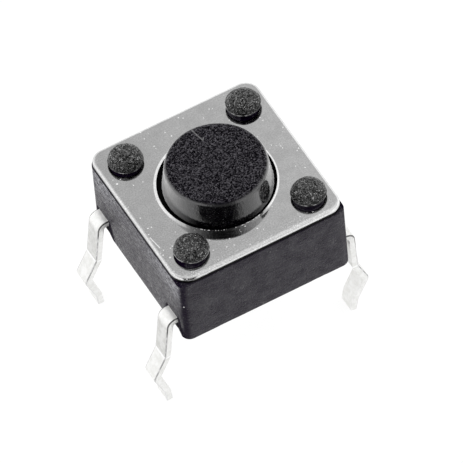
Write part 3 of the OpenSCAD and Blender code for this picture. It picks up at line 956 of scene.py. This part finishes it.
def make_cover_plate():
    """Sheet with rolled edges, a lipped hole for the button and four for the posts."""
    bm = bmesh.new()
    outline, hole = edge_rings(), lip_rings()
    made = [skin(bm, outline[:3], 1), skin(bm, outline[2:]), skin(bm, hole)]
    for sx, sy in CORNERS:
        ring = circle(POST_HOLE_R, (sx * POST_OFF, sy * POST_OFF), 64)
        made.append(skin(bm, [ring_of(ring, BODY_H), ring_of(ring, PLATE_TOP)]))
    sheared, rolled, *holes = made
    bmesh.ops.weld_verts(bm, targetmap=dict(zip(rolled[0], sheared[2])))
    # The flat underside and the flat top are filled between the outline and the holes.
    for level, stacks in ((0, [sheared, *holes]), (-1, [rolled, *holes])):
        edges = []
        for stack in stacks:
            ring = stack[level]
            edges += [bm.edges.get((ring[i - 1], ring[i])) for i in range(len(ring))]
        bmesh.ops.triangle_fill(bm, use_beauty=True, edges=edges)
    plate = draft("cover_sheet", bm, (cover_steel(), sheared_steel_painted_shadow()))
    finish_piece(plate, "housing", "cover_plate")


# ---------- button ----------

def button_profile():
    """Foot, flange, tapered stem and rounded top, from the axis below to the axis above."""
    flange_low = FLANGE_TOP - FLANGE_T
    edge = 0.03
    fillet_z = STEM_TOP - FILLET_R
    profile = [(0, FOOT_Z), (FOOT_R - edge, FOOT_Z), (FOOT_R, FOOT_Z + edge),
               (FOOT_R, flange_low + RELIEF_H), (FOOT_R + RELIEF_W, flange_low + RELIEF_H),
               (FOOT_R + RELIEF_W, flange_low), (FLANGE_R - edge, flange_low),
               (FLANGE_R, flange_low + edge), (FLANGE_R, FLANGE_TOP - edge),
               (FLANGE_R - edge, FLANGE_TOP), (STEM_R, FLANGE_TOP), (STEM_R, PLATE_TOP)]
    profile += [(STEM_R - STEM_TAPER * z, PLATE_TOP + z) for z in (0.2, 0.4, 0.6)]
    profile += arc((STEM_TOP_R - FILLET_R, fillet_z), FILLET_R, 0, 90, 12)
    profile += [(r, STEM_TOP) for r in (1.2, 0.8, 0.4, 0)]
    return profile


def make_button():
    """Turned button with a shallow gate mark sunk in its side."""
    bm = bmesh.new()
    lathe(bm, button_profile(), steps=256)
    plunger = draft("button", bm, (button_plastic(),))
    bm = bmesh.new()
    lathe(bm, [(0, 0), (GATE_R, 0), (GATE_R, 1), (0, 1)], steps=64)
    gate_floor = STEM_R - STEM_TAPER * (GATE_Z - PLATE_TOP) - GATE_DEPTH
    bm.transform(Matrix.Rotation(GATE_ANGLE, 4, "Z") @ Matrix.Translation((gate_floor, 0, GATE_Z))
                 @ Matrix.Rotation(pi / 2, 4, "Y"))
    combine(plunger, draft("gate", bm), "DIFFERENCE")
    plunger.data.transform(Matrix.Translation((*STEM_SHIFT, 0)))
    finish_piece(plunger, "button", "plunger")


# ---------- snap dome ----------

def make_snap_dome():
    """Dished disc with a flat lip and two sheared flats."""
    rise = dome_high.z - LIP_Z - DOME_T
    cap_r = DOME_R - DOME_LIP
    ball_r = (cap_r ** 2 + rise ** 2) / (2 * rise)
    reach = [cap_r * i / 24 for i in range(25)]
    dish = [(r, LIP_Z + rise - ball_r + sqrt(ball_r ** 2 - r ** 2)) for r in reach]
    profile = dish + [(DOME_R, LIP_Z), (DOME_R, LIP_Z + DOME_T)]
    profile += [(r, z + DOME_T) for r, z in reversed(dish)]
    bm = bmesh.new()
    lathe(bm, profile, steps=128)
    for vertex in bm.verts:
        vertex.co.y = max(dome_low.y, min(dome_high.y, vertex.co.y))
    dome = draft("click_dome", bm, (dome_steel(),))
    finish_piece(dome, "housing", "snap_dome")
    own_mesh(dome)


# ---------- studio ----------

def make_camera():
    """Long lens from above the corner between the -X and -Y walls. Returns the direction from
    the object to the camera."""
    azimuth, elevation, roll = radians(-24.832), radians(52.493), radians(-5.635)
    distance = 0.40007
    target = Vector((0.0076, -0.6993, 1.1153)) * MM
    back = Vector((sin(azimuth) * cos(elevation), -cos(azimuth) * cos(elevation), sin(elevation)))
    level = Vector((cos(azimuth), sin(azimuth), 0))
    above = back.cross(level)
    right = level * cos(roll) + above * sin(roll)
    up = above * cos(roll) - level * sin(roll)
    camera = bpy.data.objects.new("camera", bpy.data.cameras.new("camera"))
    bpy.context.collection.objects.link(camera)
    turned = Matrix((right, up, back)).transposed().to_4x4()
    camera.matrix_world = Matrix.Translation(target + back * distance) @ turned
    camera.data.lens = 986.4
    camera.data.sensor_width = 36
    camera.data.clip_start = 0.01
    camera.data.clip_end = 10
    bpy.context.scene.camera = camera
    return back


def seen_directly(nodes):
    """1 for rays that show the background: from the camera, in a gloss or through something."""
    paths = nodes.add("LightPath").outputs
    return nodes.largest(paths["Is Camera Ray"], paths["Is Glossy Ray"],
                         paths["Is Transmission Ray"])


def photographer(nodes, direction, camera_side):
    """1 towards the dark band where the photographer stands, from the ground to well overhead."""
    heading = Vector((camera_side.x, camera_side.y, 0)).normalized()
    ahead = nodes.vector_maths("DOT_PRODUCT", direction, heading)
    beside = nodes.vector_maths("DOT_PRODUCT", direction, heading.cross(Vector((0, 0, -1))))
    return nodes.product(nodes.below(nodes.off(beside, 0.04), sin(radians(19)), sin(radians(35))),
                         nodes.mapped(ahead, cos(radians(82)), cos(radians(69))))


def make_floor(camera_side):
    """White sweep that the leads stand on. It keeps a faint shadow, and ends in front of the
    photographer, which only glosses show."""
    bm = bmesh.new()
    made = skin(bm, [ring_of(circle(r, steps=64), strip_low.z) for r in (2, 20, 400)])
    bm.faces.new(made[0])
    floor = draft("floor", bm)
    floor.data.transform(Matrix.Scale(MM, 4))

    material, nodes, _ = new_material("white_sweep")
    place = nodes.scaled(nodes.add("NewGeometry").outputs["Position"], 1 / MM)
    direction = nodes.vector_maths("NORMALIZE", place)
    ended = nodes.product(nodes.mapped(nodes.vector_maths("LENGTH", place), 9, 13),
                          photographer(nodes, direction, camera_side),
                          nodes.add("LightPath").outputs["Is Glossy Ray"])
    glow = nodes.mapped(ended, 0.0, 1.0, 1.0, 0.02)
    glow = nodes.add("Emission", Color=grey(0.93), Strength=glow).outputs[0]
    faint = nodes.add("BsdfDiffuse", Color=grey(0.12)).outputs[0]
    shown = nodes.add("AddShader", _0=faint, _1=glow).outputs[0]
    lit = nodes.add("BsdfDiffuse", Color=grey(0.9)).outputs[0]
    mix = nodes.add("MixShader", _0=seen_directly(nodes), _1=lit, _2=shown)
    nodes.add("OutputMaterial", Surface=mix.outputs[0])
    floor.data.materials.append(material)


def make_world(camera_side):
    """A bright ring all round, brighter on the left, under a dimmer ceiling. It has a grey gap
    behind the object and is dark where the photographer stands."""
    world = bpy.data.worlds.new("studio")
    bpy.context.scene.world = world
    world.use_nodes = True
    nodes = Nodes(world.node_tree)
    direction = nodes.add("TexCoord").outputs["Generated"]
    parts = nodes.parts(direction)

    level = nodes.product(nodes.mapped(parts["X"], -0.5, 0.6, 2.0, 1.55),
                          nodes.mapped(parts["Z"], 0.0, 0.35, 0.6, 1.0))
    overhead = nodes.vector_maths("DOT_PRODUCT", direction, Vector((-0.10, 0, 1)).normalized())
    ceiling = nodes.mapped(overhead, cos(radians(32)), cos(radians(14)))
    level = nodes.mix_value(ceiling, level, 0.6)
    behind = Vector((-camera_side.x, -camera_side.y, camera_side.z))
    gap = nodes.vector_maths("DOT_PRODUCT", direction, behind)
    gap = nodes.mapped(gap, cos(radians(20)), cos(radians(6)))
    level = nodes.mix_value(gap, level, 0.65)
    dark = nodes.mapped(parts["Z"], sin(radians(16)), sin(radians(30)), 0.22, 0.01)
    level = nodes.mix_value(photographer(nodes, direction, camera_side), level, dark)

    # Glosses show the ring only a little brighter than white, or bright metal would clip.
    paths = nodes.add("LightPath").outputs
    level = nodes.mix_value(paths["Is Glossy Ray"], level, nodes.maths("MINIMUM", level, 1.35))
    level = nodes.largest(level, paths["Is Camera Ray"])
    background = nodes.add("Background", Color=grey(1.0), Strength=level)
    nodes.add("OutputWorld", Surface=background.outputs[0])


# ---------- the object ----------

camera_side = make_camera()
make_world(camera_side)
make_floor(camera_side)

outer_strip, centre_strip = make_terminals()
make_base((outer_strip, centre_strip))
finish_piece(outer_strip, "housing", "terminal_outer")
finish_piece(centre_strip, "housing", "terminal_centre")
make_cover_plate()
make_button()
make_snap_dome()

bpy.context.scene.view_settings.view_transform = "Standard"
